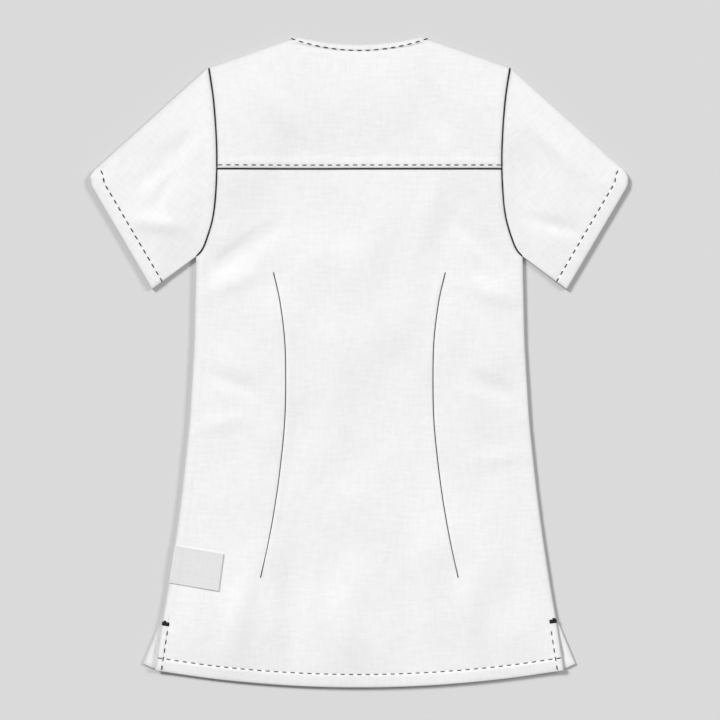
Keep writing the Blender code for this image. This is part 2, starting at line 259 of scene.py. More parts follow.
def frontTop(x):
    return topEdge(x, pattern["vDepth"], 1)


# Equal steps from start to end, both included, none longer than step.
def evenly(start, end, step):
    steps = max(1, math.ceil(abs(end - start) / step))
    return [start + (end - start) * i / steps for i in range(steps + 1)]


neckCurve = [Vector((x, backTop(x))) for x in evenly(0, pattern["neckHalf"], cloth["neckStep"])]
midHem = 0.5 * pattern["hemCorner"][0]
silhouette = [
    Vector(corner)
    for corner in (
        (0, pattern["neckScoop"]),
        (pattern["neckHalf"], 0),
        pattern["shoulder"],
        pattern["cuffTip"],
        pattern["cuffSeam"],
        sideLine[0][::-1],
        sideLine[3][::-1],
        sideLine[6][::-1],
        pattern["ventTop"],
        pattern["hemCorner"],
        (midHem, backHem(midHem)),
        (0, pattern["length"]),
    )
]

# Creases, one row for each: (start, end, height, half width), places in x and drop
creases = (
    ((-0.176, 0.268), (-0.094, 0.214), -0.0024, 0.009),  # from the left underarm
    ((-0.180, 0.292), (-0.112, 0.262), 0.0020, 0.011),
    ((0.176, 0.266), (0.108, 0.205), -0.0022, 0.008),  # from the right underarm
    ((0.181, 0.300), (0.120, 0.276), 0.0022, 0.012),
    ((-0.184, 0.372), (-0.118, 0.398), -0.0018, 0.010),  # waist, outside the darts
    ((-0.186, 0.440), (-0.130, 0.428), 0.0013, 0.009),
    ((0.187, 0.408), (0.128, 0.384), -0.0020, 0.011),
    ((0.190, 0.468), (0.136, 0.476), 0.0013, 0.010),
    ((-0.036, 0.300), (-0.018, 0.455), 0.0015, 0.017),  # between the darts
    ((0.040, 0.352), (0.026, 0.470), -0.0013, 0.015),
    ((-0.126, 0.590), (-0.142, 0.700), 0.0026, 0.014),  # flare, down to the hem
    ((-0.072, 0.560), (-0.076, 0.708), -0.0022, 0.013),
    ((-0.020, 0.610), (-0.018, 0.715), 0.0018, 0.016),
    ((0.054, 0.575), (0.062, 0.712), -0.0020, 0.015),
    ((0.118, 0.612), (0.138, 0.708), 0.0026, 0.013),
    ((0.168, 0.560), (0.186, 0.668), -0.0015, 0.011),
    ((-0.118, 0.046), (-0.066, 0.112), 0.0013, 0.012),  # yoke
    ((0.058, 0.030), (0.104, 0.118), -0.0013, 0.013),
    ((-0.040, 0.160), (-0.010, 0.246), -0.0011, 0.015),
    ((0.086, 0.158), (0.070, 0.232), 0.0011, 0.013),
    ((-0.186, 0.108), (-0.246, 0.168), -0.0020, 0.009),  # sleeves
    ((-0.196, 0.214), (-0.262, 0.206), 0.0020, 0.009),
    ((-0.206, 0.152), (-0.232, 0.196), -0.0011, 0.007),
    ((0.188, 0.094), (0.252, 0.158), 0.0020, 0.010),
    ((0.190, 0.206), (0.250, 0.220), -0.0018, 0.008),
    ((0.214, 0.128), (0.226, 0.182), -0.0011, 0.008),
)


# Distance to a straight run, and how far along it that is.
def nearestShare(spot, start, end):
    along = end - start
    share = min(max((spot - start).dot(along) / along.length_squared, 0), 1)
    return (start + along * share - spot).length, share


def nearestOf(spot, path):
    return min(nearestShare(spot, start, end)[0] for start, end in zip(path, path[1:]))


# A rise or hollow's share of its height: 1 in the middle, and nothing past three widths.
def bell(distance, width):
    return math.exp(-((distance / width) ** 2))


# From 0 at low to 1 at high, also where high is the smaller.
def smooth(value, low, high):
    t = min(max((value - low) / (high - low), 0), 1)
    return t * t * (3 - 2 * t)


# 1 within a width, coming down to 0 past it.
def within(distance, width, step):
    return smooth(distance, width + step, width)


# Share of a round rim's full height, that far in from its edge.
def rounded(distance, radius):
    return math.sqrt(1 - (1 - min(distance / radius, 1)) ** 2)


def seamDip(distance):
    return relief["seamDip"] * bell(distance, relief["seamHalf"])


def stitchDip(distance):
    return relief["stitchDip"] * bell(distance, relief["stitchHalf"])


# Waves beside a row of stitches, fading away from it.
def pucker(along, away, seed):
    spot = Vector((along / relief["puckerLong"], abs(away) / relief["puckerWide"], seed))
    return relief["pucker"] * math.exp(-abs(away) / relief["puckerFade"]) * noise.noise(spot)


def slowWaves(x, drop):
    height = 0
    for wave in ("slowWave", "quickWave"):
        tall, across, down = relief[wave]
        height += tall * noise.noise(Vector((x / across, drop / down, seeds[wave])))
    return height


# Upper surface over a smooth layer: loft, slow waves and creases. Also the loft's share there.
def restHeight(x, drop):
    nearest = min(cloth["reach"], nearestOf(Vector((abs(x), drop)), silhouette))
    share = 1 - (1 - nearest / cloth["reach"]) ** 2
    wave = slowWaves(x, drop)
    ends = relief["creaseEnds"]
    for start, end, height, width in creases:
        away, along = nearestShare(Vector((x, drop)), Vector(start), Vector(end))
        if away < 3 * width:
            wave += height * bell(away, width) * math.sin(math.pi * (ends + (1 - 2 * ends) * along))
    loft = cloth["loft"] + wave
    if loft < cloth["leastLoft"]:  # hollows flatten out before they reach the layer below
        loft = cloth["leastLoft"] * math.exp(loft / cloth["leastLoft"] - 1)
    return 2 * cloth["thick"] + cloth["gap"] + share * loft, share


# Upper surface of the yoke and the back panel, with their seams and darts.
def backHeight(x, drop):
    half = abs(x)
    side = math.copysign(1, x)
    height, share = restHeight(x, drop)
    fromYoke = drop - pattern["yokeDrop"]
    height -= share * seamDip(fromYoke)
    if fromYoke < 0:
        height += relief["allowance"] * within(-fromYoke, allowance["yoke"], relief["step"])
        height -= stitchDip(fromYoke + turning["yoke"])
    height += pucker(x, fromYoke + 0.5 * turning["yoke"], seeds["yoke"])
    if drop < underarmDrop:
        fromArm = curveAt(armholeLine, drop) - half
        height += pucker(drop, fromArm, seeds["armhole"] * side) - share * seamDip(fromArm)
    elif drop < pattern["ventTop"][1]:
        fromSide = curveAt(sideLine, drop) - half
        height += relief["allowance"] * within(fromSide, allowance["side"], relief["step"])
        height += pucker(drop, fromSide, seeds["side"] * side)
    fade = smooth(min(drop - dartLine[0][0], dartLine[-1][0] - drop), *relief["dartFade"])
    fromDart = half - curveAt(dartLine, drop)
    height -= relief["dartDip"] * fade * bell(fromDart, relief["dartHalf"])
    folded = smooth(-fromDart, 0, relief["dartFold"])
    folded *= within(-fromDart, allowance["dart"], relief["step"])
    height += relief["allowance"] * fade * folded  # the dart's fold lies towards the centre
    return height + fade * pucker(drop, fromDart, seeds["dart"] * side)


def isTurned(distance, width):
    return within(distance, width - 0.5 * relief["turnStep"], relief["turnStep"])


# Extra height at the back's turned hem, vents and neck.
def backTurnings(x, drop):
    half = abs(x)
    fromHem = backHem(half) - drop
    turned = isTurned(fromHem, turning["hem"])
    fromStitch = fromHem - turning["hem"]
    extra = pucker(x, fromStitch, seeds["hem"]) - stitchDip(fromStitch)
    if drop > pattern["ventTop"][1]:
        fromVent = curveAt(backVent, drop) - half
        turned = max(turned, isTurned(fromVent, turning["vent"]))
        if fromHem > turning["hem"]:
            extra -= stitchDip(fromVent - turning["vent"])
        below, above = cloth["ventOpens"]
        opened = smooth(drop, pattern["ventTop"][1] + below, pattern["hemCorner"][1] - above)
        extra += cloth["ventLift"] * opened * bell(fromVent, cloth["ventLiftWide"])
    if drop < pattern["shoulder"][1]:
        fromNeck = nearestOf(Vector((half, drop)), neckCurve)
        turned = max(turned, isTurned(fromNeck, turning["neck"]))
        fromStitch = fromNeck - turning["neck"]
        extra += pucker(x, fromStitch, seeds["neck"]) - stitchDip(fromStitch)
    return cloth["turnThick"] * turned + extra


def backWall(x, drop):
    return backHeight(x, drop) + backTurnings(x, drop) - 0.5 * cloth["thick"], cloth["thick"]


# From the cut's places to the frame's: the origin is the middle of the garment.
def inRowFrame(x, drop, height=0.0):
    return Vector((x, 0.5 * pattern["length"] - drop, height))


# Where two rims meet, the faces are cut through the corner, so that a wall's sides don't coincide.
def cutCorners(shape):
    corners = [vert for vert in shape.verts if len(vert.link_edges) == 2]
    opposite = [loop.link_loop_next.link_loop_next.vert for vert in corners for loop in vert.link_loops]
    bmesh.ops.connect_verts(shape, verts=corners + opposite)


def meshFrom(shape, name):
    mesh = bpy.data.meshes.new(name)
    shape.to_mesh(mesh)
    shape.free()
    return mesh


# Closes the mesh, turns its faces out and lays a UV map along the grain, and up its rims.
def makePiece(name, shape, material, grain=0.0):
    bmesh.ops.remove_doubles(shape, verts=shape.verts[:], dist=samePoint)
    cutCorners(shape)
    bmesh.ops.recalc_face_normals(shape, faces=shape.faces[:])
    if shape.calc_volume(signed=True) < 0:
        bmesh.ops.reverse_faces(shape, faces=shape.faces[:])
    mesh = meshFrom(shape, name)
    mesh.shade_smooth()
    mesh.materials.append(material)
    uv = mesh.uv_layers.new(name="grain")
    cosine, sine = math.cos(grain), math.sin(grain)
    for loop in mesh.loops:
        spot = mesh.vertices[loop.vertex_index].co
        weft, warp = spot.x * cosine + spot.y * sine, spot.y * cosine - spot.x * sine
        uv.data[loop.index].uv = (weft + spot.z, warp + spot.z)
    piece = addObject(name, mesh)
    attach(piece, "root")
    return piece


# A grid of columns by rows. place(column, row) gives each point and its distance from an edge.
def placedGrid(columns, rows, place):
    grid = bmesh.new()
    bmesh.ops.create_grid(grid, x_segments=columns - 1, y_segments=rows - 1, size=0.5)
    rim = grid.verts.layers.float.new("rim")
    for vert in grid.verts:
        column = round((vert.co.x + 0.5) * (columns - 1))
        row = round((0.5 - vert.co.y) * (rows - 1))
        vert.co, vert[rim] = place(column, row)
    return grid


# Painted shade: cloth greys along its edges, as where the rim turns from the light, and its inner side
# greys as if in the back's shade.
def paintShadeAlongEdges(shape, paintedEdgeShade, inside=()):
    shade = shape.verts.layers.float.new("shade")
    rim = shape.verts.layers.float["rim"]
    for vert in shape.verts:
        vert[shade] = paintedEdgeShade * math.exp(-vert[rim] / cloth["edgeFade"])
        if vert in inside:
            vert[shade] = max(vert[shade], cloth["paintedInsideShade"])
    shape.verts.layers.float.remove(rim)


# Extrudes a flat sheet into a wall whose two sides meet in a round rim, and paints shade along its edges.
def giveWall(sheet, wallAt, paintedEdgeShade, insideUp=False):
    walls = bmesh.ops.extrude_face_region(sheet, geom=sheet.faces[:])
    upper = {item for item in walls["geom"] if isinstance(item, bmesh.types.BMVert)}
    rim = sheet.verts.layers.float["rim"]
    for vert in sheet.verts:
        middle, thick = wallAt(vert.co.x, 0.5 * pattern["length"] - vert.co.y)
        half = 0.5 * thick * rounded(vert[rim], 0.5 * thick)
        vert.co.z = middle + (half if vert in upper else -half)
    paintShadeAlongEdges(sheet, paintedEdgeShade, upper if insideUp else ())


# One half is laid out and mirrored about the centre line.
def bodyPanel(name, columns, rows, place, wallAt, material, insideUp=False):
    sheet = placedGrid(columns, rows, place)
    half = sheet.verts[:] + sheet.edges[:] + sheet.faces[:]
    bmesh.ops.mirror(sheet, geom=half, axis="X", merge_dist=samePoint)
    bmesh.ops.recalc_face_normals(sheet, faces=sheet.faces[:])
    giveWall(sheet, wallAt, cloth["paintedEdgeShade"], insideUp)
    return makePiece(name, sheet, material)


back = {
    "flat": (0.458, 0.581),
    "area": 0.2234,
    "topSteps": rimSteps + (0.0013, 0.0022, 0.0040, 0.0070),
    "dartSteps": (0, 0.0004, 0.0008, 0.0014, 0.0022, 0.0045, 0.0070, 0.0100),
    "innerColumns": 22,  # centre line to dart
    "outerColumns": 24,  # dart to side
    "straightHem": 0.03,  # the rows bend as the hem does from here down
}


def makeBack(material):
    top = pattern["yokeDrop"] + 0.5 * cloth["gap"]
    cornerHalf, cornerDrop = pattern["hemCorner"]
    ventDrop = pattern["ventTop"][1]
    drops = [top + step for step in back["topSteps"]]
    drops += evenly(drops[-1], underarmDrop, cloth["cell"])[1:]
    drops += evenly(underarmDrop, ventDrop, cloth["cell"])[1:]
    drops += evenly(ventDrop, cornerDrop - hemSteps[-1], cloth["cell"])[1:-1]
    drops += [cornerDrop - step for step in reversed(hemSteps)]
    fromDart = [-step for step in reversed(back["dartSteps"][1:])] + list(back["dartSteps"])

    def across(drop, side):
        dart = curveAt(dartLine, drop)
        inner, outer = dart + fromDart[0], dart + fromDart[-1]
        gap = side - sideSteps[-1] - outer
        places = [inner * i / back["innerColumns"] for i in range(back["innerColumns"])]
        places += [dart + step for step in fromDart]
        places += [outer + gap * i / back["outerColumns"] for i in range(1, back["outerColumns"])]
        return places + [side - step for step in reversed(sideSteps)]

    rowPlaces = []
    for sideDrop in drops:
        side = bodyEdge(sideDrop, backVent)
        sagging = min((sideDrop - top) / (cornerDrop - back["straightHem"] - top), 1)
        row = []
        for x in across(sideDrop, side):
            sag = (backHem(x / side * cornerHalf) - cornerDrop) * sagging
            row.append((x, sideDrop + sag, min(side - x, sideDrop - top, cornerDrop - sideDrop)))
        rowPlaces.append(row)

    def place(column, row):
        x, drop, rim = rowPlaces[row][column]
        return inRowFrame(x, drop), rim

    piece = bodyPanel("backCloth", len(rowPlaces[0]), len(drops), place, backWall, material)
    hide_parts("back_panel")


yoke = {
    "flat": (0.3376, 0.1487),
    "area": 0.0445,
    "neckSteps": rimSteps + (0.0015, 0.0035, 0.0060, 0.0070, 0.0076, 0.0082, 0.0100, 0.0125),
    "neckColumns": 20,  # centre line to neck point
}


def makeYoke(material):
    bottom = pattern["yokeDrop"] - 0.5 * cloth["gap"]
    shoulderHalf, shoulderDrop = pattern["shoulder"]
    neckShare = pattern["neckHalf"] / shoulderHalf
    neckSteps = yoke["neckSteps"]
    shares = [neckShare * i / yoke["neckColumns"] for i in range(yoke["neckColumns"])]
    shares += evenly(neckShare, 1 - sideSteps[-1] / shoulderHalf, cloth["cell"] / shoulderHalf)[:-1]
    shares += [1 - step / shoulderHalf for step in reversed(sideSteps)]
    between = evenly(0, 1, cloth["cell"] / (bottom - neckSteps[-1] - seamSteps[-1]))[1:-1]
    rowCount = len(neckSteps) + len(between) + len(seamSteps)

    def dropAt(top, row):
        if row < len(neckSteps):
            return top + neckSteps[row]
        if row >= len(neckSteps) + len(between):
            return bottom - seamSteps[rowCount - 1 - row]
        start, end = top + neckSteps[-1], bottom - seamSteps[-1]
        return start + (end - start) * between[row - len(neckSteps)]

    def place(column, row):
        share = shares[column]
        top = backTop(share * shoulderHalf)
        drop = dropAt(top, row)
        fall = (drop - top) / (bottom - top)
        side = armholeEdge(shoulderDrop * (1 - fall) + bottom * fall, -1)
        return inRowFrame(share * side, drop), min(side - share * side, drop - top, bottom - drop)

    piece = bodyPanel("yokeCloth", len(shares), rowCount, place, backWall, material)
    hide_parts("back_yoke")


front = {
    "flat": (0.4856, 0.727),
    "area": 0.2551,
    "columnShare": 0.026,  # columns are this share of its half width apart
    "rowHeight": 0.006,
    "edgeSteps": rimSteps + (0.0013, 0.0030, 0.0060, 0.0076, 0.0095),
    "hemSteps": rimSteps + (0.0015, 0.0050, 0.0100, 0.0144, 0.0152, 0.0180),
    "turnThick": 0.0003,  # added by its turned edges, which are let down under the back
    "turnFade": 0.004,
    "straightHem": 0.03,  # as on the back
}


def makeFront(material):
    cornerHalf, cornerDrop = pattern["flapCorner"]
    shoulderHalf, shoulderDrop = pattern["shoulder"]
    neckShare = pattern["neckHalf"] / shoulderHalf
    underBack = pattern["hemCorner"][0] / cornerHalf
    edge, hem = front["edgeSteps"], front["hemSteps"]
    shares = evenly(0, neckShare, front["columnShare"])[:-1]
    shares += evenly(neckShare, underBack, front["columnShare"])[:-1]
    shares = [share for share in shares if share < 1 - edge[-1] / cornerHalf]
    shares += [1 - step / cornerHalf for step in reversed(edge)]
    drops = [shoulderDrop + step for step in edge]
    for start, end in (
        (drops[-1], underarmDrop),
        (underarmDrop, pattern["ventTop"][1]),
        (pattern["ventTop"][1], cornerDrop - hem[-1]),
    ):
        drops += evenly(start, end, front["rowHeight"])[1:]
    drops += [cornerDrop - step for step in reversed(hem[:-1])]

    def place(column, row):
        share, sideDrop = shares[column], drops[row]
        side = bodyEdge(sideDrop, frontVent)
        if sideDrop <= underarmDrop:
            fall = (sideDrop - shoulderDrop) / (underarmDrop - shoulderDrop)
            drop = frontTop(share * shoulderHalf) * (1 - fall) + underarmDrop * fall
        else:
            settle = (sideDrop - underarmDrop) / (cornerDrop - front["straightHem"] - underarmDrop)
            drop = sideDrop + (frontHem(share * cornerHalf) - cornerDrop) * min(settle, 1)
        rim = min(side - share * side, sideDrop - shoulderDrop, cornerDrop - sideDrop)
        return inRowFrame(share * side, drop), rim

    # Flat underneath, with the turned hem and vent edge raised on its inner side
    def wallAt(x, drop):
        half = abs(x)
        turned = isTurned(frontHem(half) - drop, turning["hem"])
        if drop > pattern["ventTop"][1]:
            turned = max(turned, isTurned(curveAt(frontVent, drop) - half, turning["vent"]))
        backEdge = bodyEdge(drop, backVent)
        turned *= smooth(half, backEdge - front["turnFade"], backEdge)
        thick = cloth["thick"] + front["turnThick"] * turned
        return 0.5 * thick, thick

    # painted shade on its inner side, which faces up at the flaps
    piece = bodyPanel("frontCloth", len(shares), len(drops), place, wallAt, material, insideUp=True)
    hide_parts("front_panel")


# A sleeve is a tube folded flat, with the fold along the overarm and the seam underneath.
sleeve = {
    "flat": (0.426, 0.195),
    "area": 0.0415,
    "armStep": 0.001,  # the armhole is followed in steps of this length
    "cornerSteps": 10,  # each half of the round corner
    "turnSteps": 5,  # a quarter of the turn along fold and seam
    "foldStep": 0.0020,  # the first column beside the turn
    "cuffFrom": 0.6,  # the cuff's turning is looked for past this share of the length,
    "halvings": 14,  # and the stretch is halved this many times
    "armSteps": rimSteps + (0.0013, 0.0022, 0.0040, 0.0065, 0.0090, 0.0110),
    "cuffSteps": rimSteps
    + (0.0015, 0.0035, 0.0070, 0.0105, 0.0132, 0.0140, 0.0145, 0.0150, 0.0160, 0.0185),
}


# The short arc about centre from start to end.
def arcPoints(centre, start, end, steps):
    first, last = start - centre, end - centre
    across = Vector((-first.y, first.x))
    bends = evenly(0, -first.angle_signed(last), abs(first.angle_signed(last)) / steps)
    return [centre + first * math.cos(bend) + across * math.sin(bend) for bend in bends]


# The place that far along a run of straight lengths.
def alongPath(points, distance):
    for start, end in zip(points, points[1:]):
        length = (end - start).length
        if distance <= length:
            return start.lerp(end, distance / length)
        distance -= length
    return points[-1].copy()


def pathLength(points):
    return sum((end - start).length for start, end in zip(points, points[1:]))


# Fold and cuff as paths that share the round corner at its middle.
def sleeveLines():
    tip, seamEnd = Vector(pattern["cuffTip"]), Vector(pattern["cuffSeam"])
    toShoulder, toSeam = (armPath[0] - tip).normalized(), (seamEnd - tip).normalized()
    halfAngle = 0.5 * toShoulder.angle(toSeam)
    radius = pattern["cuffRound"]
    centre = tip + (toShoulder + toSeam).normalized() * radius / math.sin(halfAngle)
    middle = centre + (tip - centre).normalized() * radius
    reach = radius / math.tan(halfAngle)
    steps = sleeve["cornerSteps"]
    fold = [armPath[0]] + arcPoints(centre, tip + toShoulder * reach, middle, steps)
    cuff = arcPoints(centre, middle, tip + toSeam * reach, steps) + [seamEnd]
    return fold, cuff


armDrops = evenly(pattern["shoulder"][1], underarmDrop, sleeve["armStep"])
armPath = [Vector((armholeEdge(drop, 1), drop)) for drop in armDrops]
foldPath, cuffPath = sleeveLines()
seamPath = [armPath[-1], cuffPath[-1]]
armLength, foldLength, cuffLength, seamLength = map(pathLength, (armPath, foldPath, cuffPath, seamPath))


# Coons patch over the flat sleeve: s from fold to seam, t from armhole to cuff.
def sleevePlace(s, t):
    foldSpot, seamSpot = alongPath(foldPath, t * foldLength), alongPath(seamPath, t * seamLength)
    armSpot, cuffSpot = alongPath(armPath, s * armLength), alongPath(cuffPath, s * cuffLength)
    corners = foldPath[0].lerp(seamPath[0], s) * (1 - t) + foldPath[-1].lerp(cuffPath[-1], s) * t
    return foldSpot * (1 - s) + seamSpot * s + armSpot * (1 - t) + cuffSpot * t - corners


# Upper surface of a sleeve, at x measured on the right-hand side.
def sleeveHeight(x, drop, hand):
    height, share = restHeight(hand * x, drop)
    fromCuff = nearestOf(Vector((x, drop)), cuffPath)
    fromArm = abs(x - armholeEdge(min(drop, underarmDrop), 1))
    height += share * relief["allowance"] * within(fromArm, allowance["armhole"], relief["step"])
    height += pucker(drop, fromArm, seeds["sleeve"] * hand) - share * seamDip(fromArm)
    fromStitch = fromCuff - turning["cuff"]
    return height + pucker(drop, fromStitch, seeds["cuff"] * hand) - stitchDip(fromStitch)


# How far down column s the cuff is still that far away.
def shareAtCuffDistance(s, distance):
    near, far = sleeve["cuffFrom"], 1
    for _ in range(sleeve["halvings"]):
        middle = 0.5 * (near + far)
        if nearestOf(sleevePlace(s, middle), cuffPath) > distance:
            near = middle
        else:
            far = middle
    return far


# The ring runs over the fold, along the upper side, over the seam and back underneath. A point
# is its share of the way across, its angle in a turn or None, and its layer.
def sleeveRing():
    turn = evenly(0, 0.5 * math.pi, 0.5 * math.pi / sleeve["turnSteps"])
    foldShare = sleeve["foldStep"] / cuffLength
    across = evenly(foldShare, 1 - foldShare, cloth["cell"] / cuffLength)
    ring = [(0, angle, 1) for angle in turn] + [(s, None, 1) for s in across]
    ring += [(1, angle, 1) for angle in reversed(turn)] + [(1, angle, -1) for angle in turn[1:]]
    return ring + [(s, None, -1) for s in reversed(across)] + [(0, angle, -1) for angle in reversed(turn)]


# Rings run down the outside of the cloth, and back up its inside, a skin of 1 or -1.
def makeSleeve(name, hand, node, material):
    ring = sleeveRing()
    length = 0.5 * (foldLength + seamLength)
    armSteps, cuffSteps = sleeve["armSteps"], sleeve["cuffSteps"][::-1]
    between = evenly(0, 1, cloth["cell"] / length)[1:-1]
    rowCount = len(armSteps) + len(between) + len(cuffSteps)
    outside, inside = [(row, 1) for row in range(rowCount)], [(row, -1) for row in range(rowCount)]
    skins = outside + inside[::-1] + outside[:1]
    shares = {s for s, _, _ in ring}
    cuffShares = {s: [shareAtCuffDistance(s, step) for step in cuffSteps] for s in shares}

    # Place down the sleeve, and the distance to its nearer open edge
    def shareDown(s, row):
        if row < len(armSteps):
            return armSteps[row] / length, armSteps[row]
        row -= len(armSteps)
        if row < len(between):
            first, last = armSteps[-1] / length, cuffShares[s][0]
            return first + (last - first) * between[row], armSteps[-1]
        row -= len(between)
        return cuffShares[s][row], cuffSteps[row]

    def place(column, row):
        s, angle, layer = ring[column]
        rowNumber, skin = skins[row]
        t, rim = shareDown(s, rowNumber)
        flat = sleevePlace(s, t)
        turned = isTurned(nearestOf(flat, cuffPath), turning["cuff"])
        thick = cloth["thick"] + 0.5 * cloth["turnThick"] * turned
        halfWall = 0.5 * thick * rounded(rim, 0.5 * thick) * skin
        around = armLength * (1 - t) + cuffLength * t
        if angle is None:
            if layer < 0:
                height = 0.5 * thick - halfWall
            else:
                top = sleeveHeight(flat.x, flat.y, hand) + cloth["turnThick"] * turned
                height = top - 0.5 * thick + halfWall
            return inRowFrame(hand * flat.x, flat.y, height), min(rim, around * min(s, 1 - s))
        foldRadius = thick + 0.5 * cloth["gap"]
        radius = foldRadius - 0.5 * thick + halfWall
        inset = (foldRadius - radius * math.cos(angle)) / around
        spot = sleevePlace(inset if s == 0 else 1 - inset, t)
        height = foldRadius + layer * radius * math.sin(angle)
        return inRowFrame(hand * spot.x, spot.y, height), min(rim, inset * around)

    shape = placedGrid(len(ring), len(skins), place)
    # painted shade along the sleeve's edges and its fold
    paintShadeAlongEdges(shape, cloth["paintedEdgeShade"])
    grain = hand * math.atan2(*reversed(foldPath[1] - foldPath[0]))
    piece = makePiece(name, shape, material, grain)
    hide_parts(node)


stitch = {
    "pitch": 0.0094,
    "long": 0.0053,
    "wide": 0.0013,
    "high": 0.0008,
    "above": 0.0001,  # the middle of a stitch lies this far above the cloth
    "sides": 8,
    "rings": 7,
    "bluntness": 0.4,  # how much fuller than a ball its ends are
    "endBluntness": 0.24,  # and how much flatter
    "pole": 0.01,  # a point this near the axis stays on it
}


# One stitch along Z with blunt ends, one unit in half length and radius.
def stitchTemplate():
    shape = bmesh.new()
    bmesh.ops.create_uvsphere(shape, u_segments=stitch["sides"], v_segments=stitch["rings"], radius=1)
    for vert in shape.verts:
        radius = math.hypot(vert.co.x, vert.co.y)
        if radius > stitch["pole"]:
            vert.co.x *= radius ** -stitch["bluntness"]
            vert.co.y *= radius ** -stitch["bluntness"]
        vert.co.z = math.copysign(abs(vert.co.z) ** (1 - stitch["endBluntness"]), vert.co.z)
    return meshFrom(shape, "stitch")


stitchMesh = stitchTemplate()


def addStitch(shape, start, end, wide, high):
    along = 0.5 * (end - start)
    side = along.cross(Vector((0, 0, 1))).normalized()
    up = side.cross(along).normalized()
    matrix = Matrix((side * 0.5 * wide, up * 0.5 * high, along)).transposed().to_4x4()
    matrix.translation = 0.5 * (start + end)
    first = len(shape.verts)
    shape.from_mesh(stitchMesh)
    shape.verts.ensure_lookup_table()
    bmesh.ops.transform(shape, matrix=matrix, verts=shape.verts[first:])


# Sews along a path of places on the cut, with whole stitches shared out evenly.
def stitchRow(shape, path, heightAt):
    length = pathLength(path)
    count = max(1, round((length - stitch["long"]) / stitch["pitch"]))
    pitch = (length - stitch["long"]) / count
    for i in range(count + 1):
        spots = [alongPath(path, i * pitch), alongPath(path, i * pitch + stitch["long"])]
        ends = [inRowFrame(spot.x, spot.y, heightAt(spot.x, spot.y)) for spot in spots]
        addStitch(shape, *ends, stitch["wide"], stitch["high"])


# Sews lines into one piece. Each is a path, the surface that it lies on and, for a seam, the
# width and height of its stitches.
def makeSewing(name, lines, material, sew=stitchRow):
    shape = bmesh.new()
    for line in lines:
        sew(shape, *line)
    makePiece(name, shape, material)


# A curve of the cut as a path, on the wearer's left (-1) or right (1), moved in towards the middle.
def curvePath(table, drops, hand, inset=0):
    return [Vector((hand * (curveAt(table, drop) - inset), drop)) for drop in drops]


# Middle of a stitch on the back, and on the hidden side.
def onBack(x, drop):
    return backHeight(x, drop) + backTurnings(x, drop) + stitch["above"]


def underneath(x, drop):
    return stitch["above"]


# How each row runs: its steps along a curve, and how far short of a seam or edge it ends
topstitch = {
    "yokeEnd": 0.001,
    "neckStep": 0.003,
    "neckPoint": 1.08,  # the front's rows meet this many turnings below the V
    "neckEnd": 1.2,  # and end this many times as far down as the back's row
    "hemStep": 0.01,
    "hemEnd": 0.001,
    "ventStep": 0.01,
    "ventEnd": 0.0008,
    "cuffStep": 0.02,  # shares of the cuff
    "cuffEnd": 0.04,
}


def makeYokeTopstitch(material):
    drop = pattern["yokeDrop"] - turning["yoke"]
    half = curveAt(armholeLine, drop) - topstitch["yokeEnd"]
    makeSewing("yokeTopstitch", [([Vector((-half, drop)), Vector((half, drop))], onBack)], material)


# Beside the back neck and out to the shoulder seam, and along both sides of the front's V.
def makeNeckTopstitch(material):
    half = pattern["neckHalf"] + turning["neck"]
    low, high = pattern["neckScoop"] + turning["neck"], backTop(half)
    across = evenly(-half, half, topstitch["neckStep"])
    lines = [([Vector((x, low + (high - low) * (x / half) ** 2)) for x in across], onBack)]
    point = Vector((0, pattern["vDepth"] + topstitch["neckPoint"] * turning["neck"]))
    for hand in (-1, 1):
        lines.append(([point, Vector((hand * half, topstitch["neckEnd"] * high))], underneath))
    makeSewing("neckTopstitch", lines, material)


def makeHemTopstitch(material):
    lines = []
    for hem, vent, heightAt in ((backHem, backVent, onBack), (frontHem, frontVent, underneath)):
        half = curveAt(vent, vent[-1][0] - turning["hem"]) - topstitch["hemEnd"]
        across = evenly(-half, half, topstitch["hemStep"])
        lines.append(([Vector((x, hem(abs(x)) - turning["hem"])) for x in across], heightAt))
    makeSewing("hemTopstitch", lines, material)


def makeVentTopstitch(material):
    lines = []
    for vent, heightAt in ((backVent, onBack), (frontVent, underneath)):
        top, bottom = barTack["drop"] + barTack["clear"], vent[-1][0] - topstitch["ventEnd"]
        drops = evenly(top, bottom, topstitch["ventStep"])
        lines += [(curvePath(vent, drops, hand, turning["vent"]), heightAt) for hand in (-1, 1)]
    makeSewing("ventTopstitch", lines, material)


# Parallel to the cuff, bending with the tip's round corner at its upper end.
def makeCuffTopstitch(material):
    shares = evenly(1, topstitch["cuffEnd"], topstitch["cuffStep"])
    path = [sleevePlace(s, shareAtCuffDistance(s, turning["cuff"])) for s in shares]
    lines = []
    for hand in (-1, 1):

        def onSleeve(x, drop, hand=hand):
            return sleeveHeight(hand * x, drop, hand) + cloth["turnThick"] + stitch["above"]

        line = [Vector((hand * spot.x, spot.y)) for spot in path]
        lines += [(line, onSleeve), (line, underneath)]
    makeSewing("cuffTopstitch", lines, material)


seamStitch = {
    "pitch": 0.0026,
    "long": 0.0042,
    "slant": 0.12,  # share of its width that each end of a stitch lies off the line
    "seamWide": 0.0022,
    "dartWide": 0.0011,
    "depth": 0.0004,  # a seam's stitches lie this far down in its ditch
    "under": 0.0002,  # on the hidden side they are pressed flat: their middle and height there
    "underHigh": 0.0009,
    "yokeEnd": 0.0005,  # the seams end this far short of their neighbours
    "shoulderEnd": 0.0009,
    "underarmEnd": 0.0006,
    "armStep": 0.003,  # and follow their curves in steps of these lengths
    "dartStep": 0.004,
}


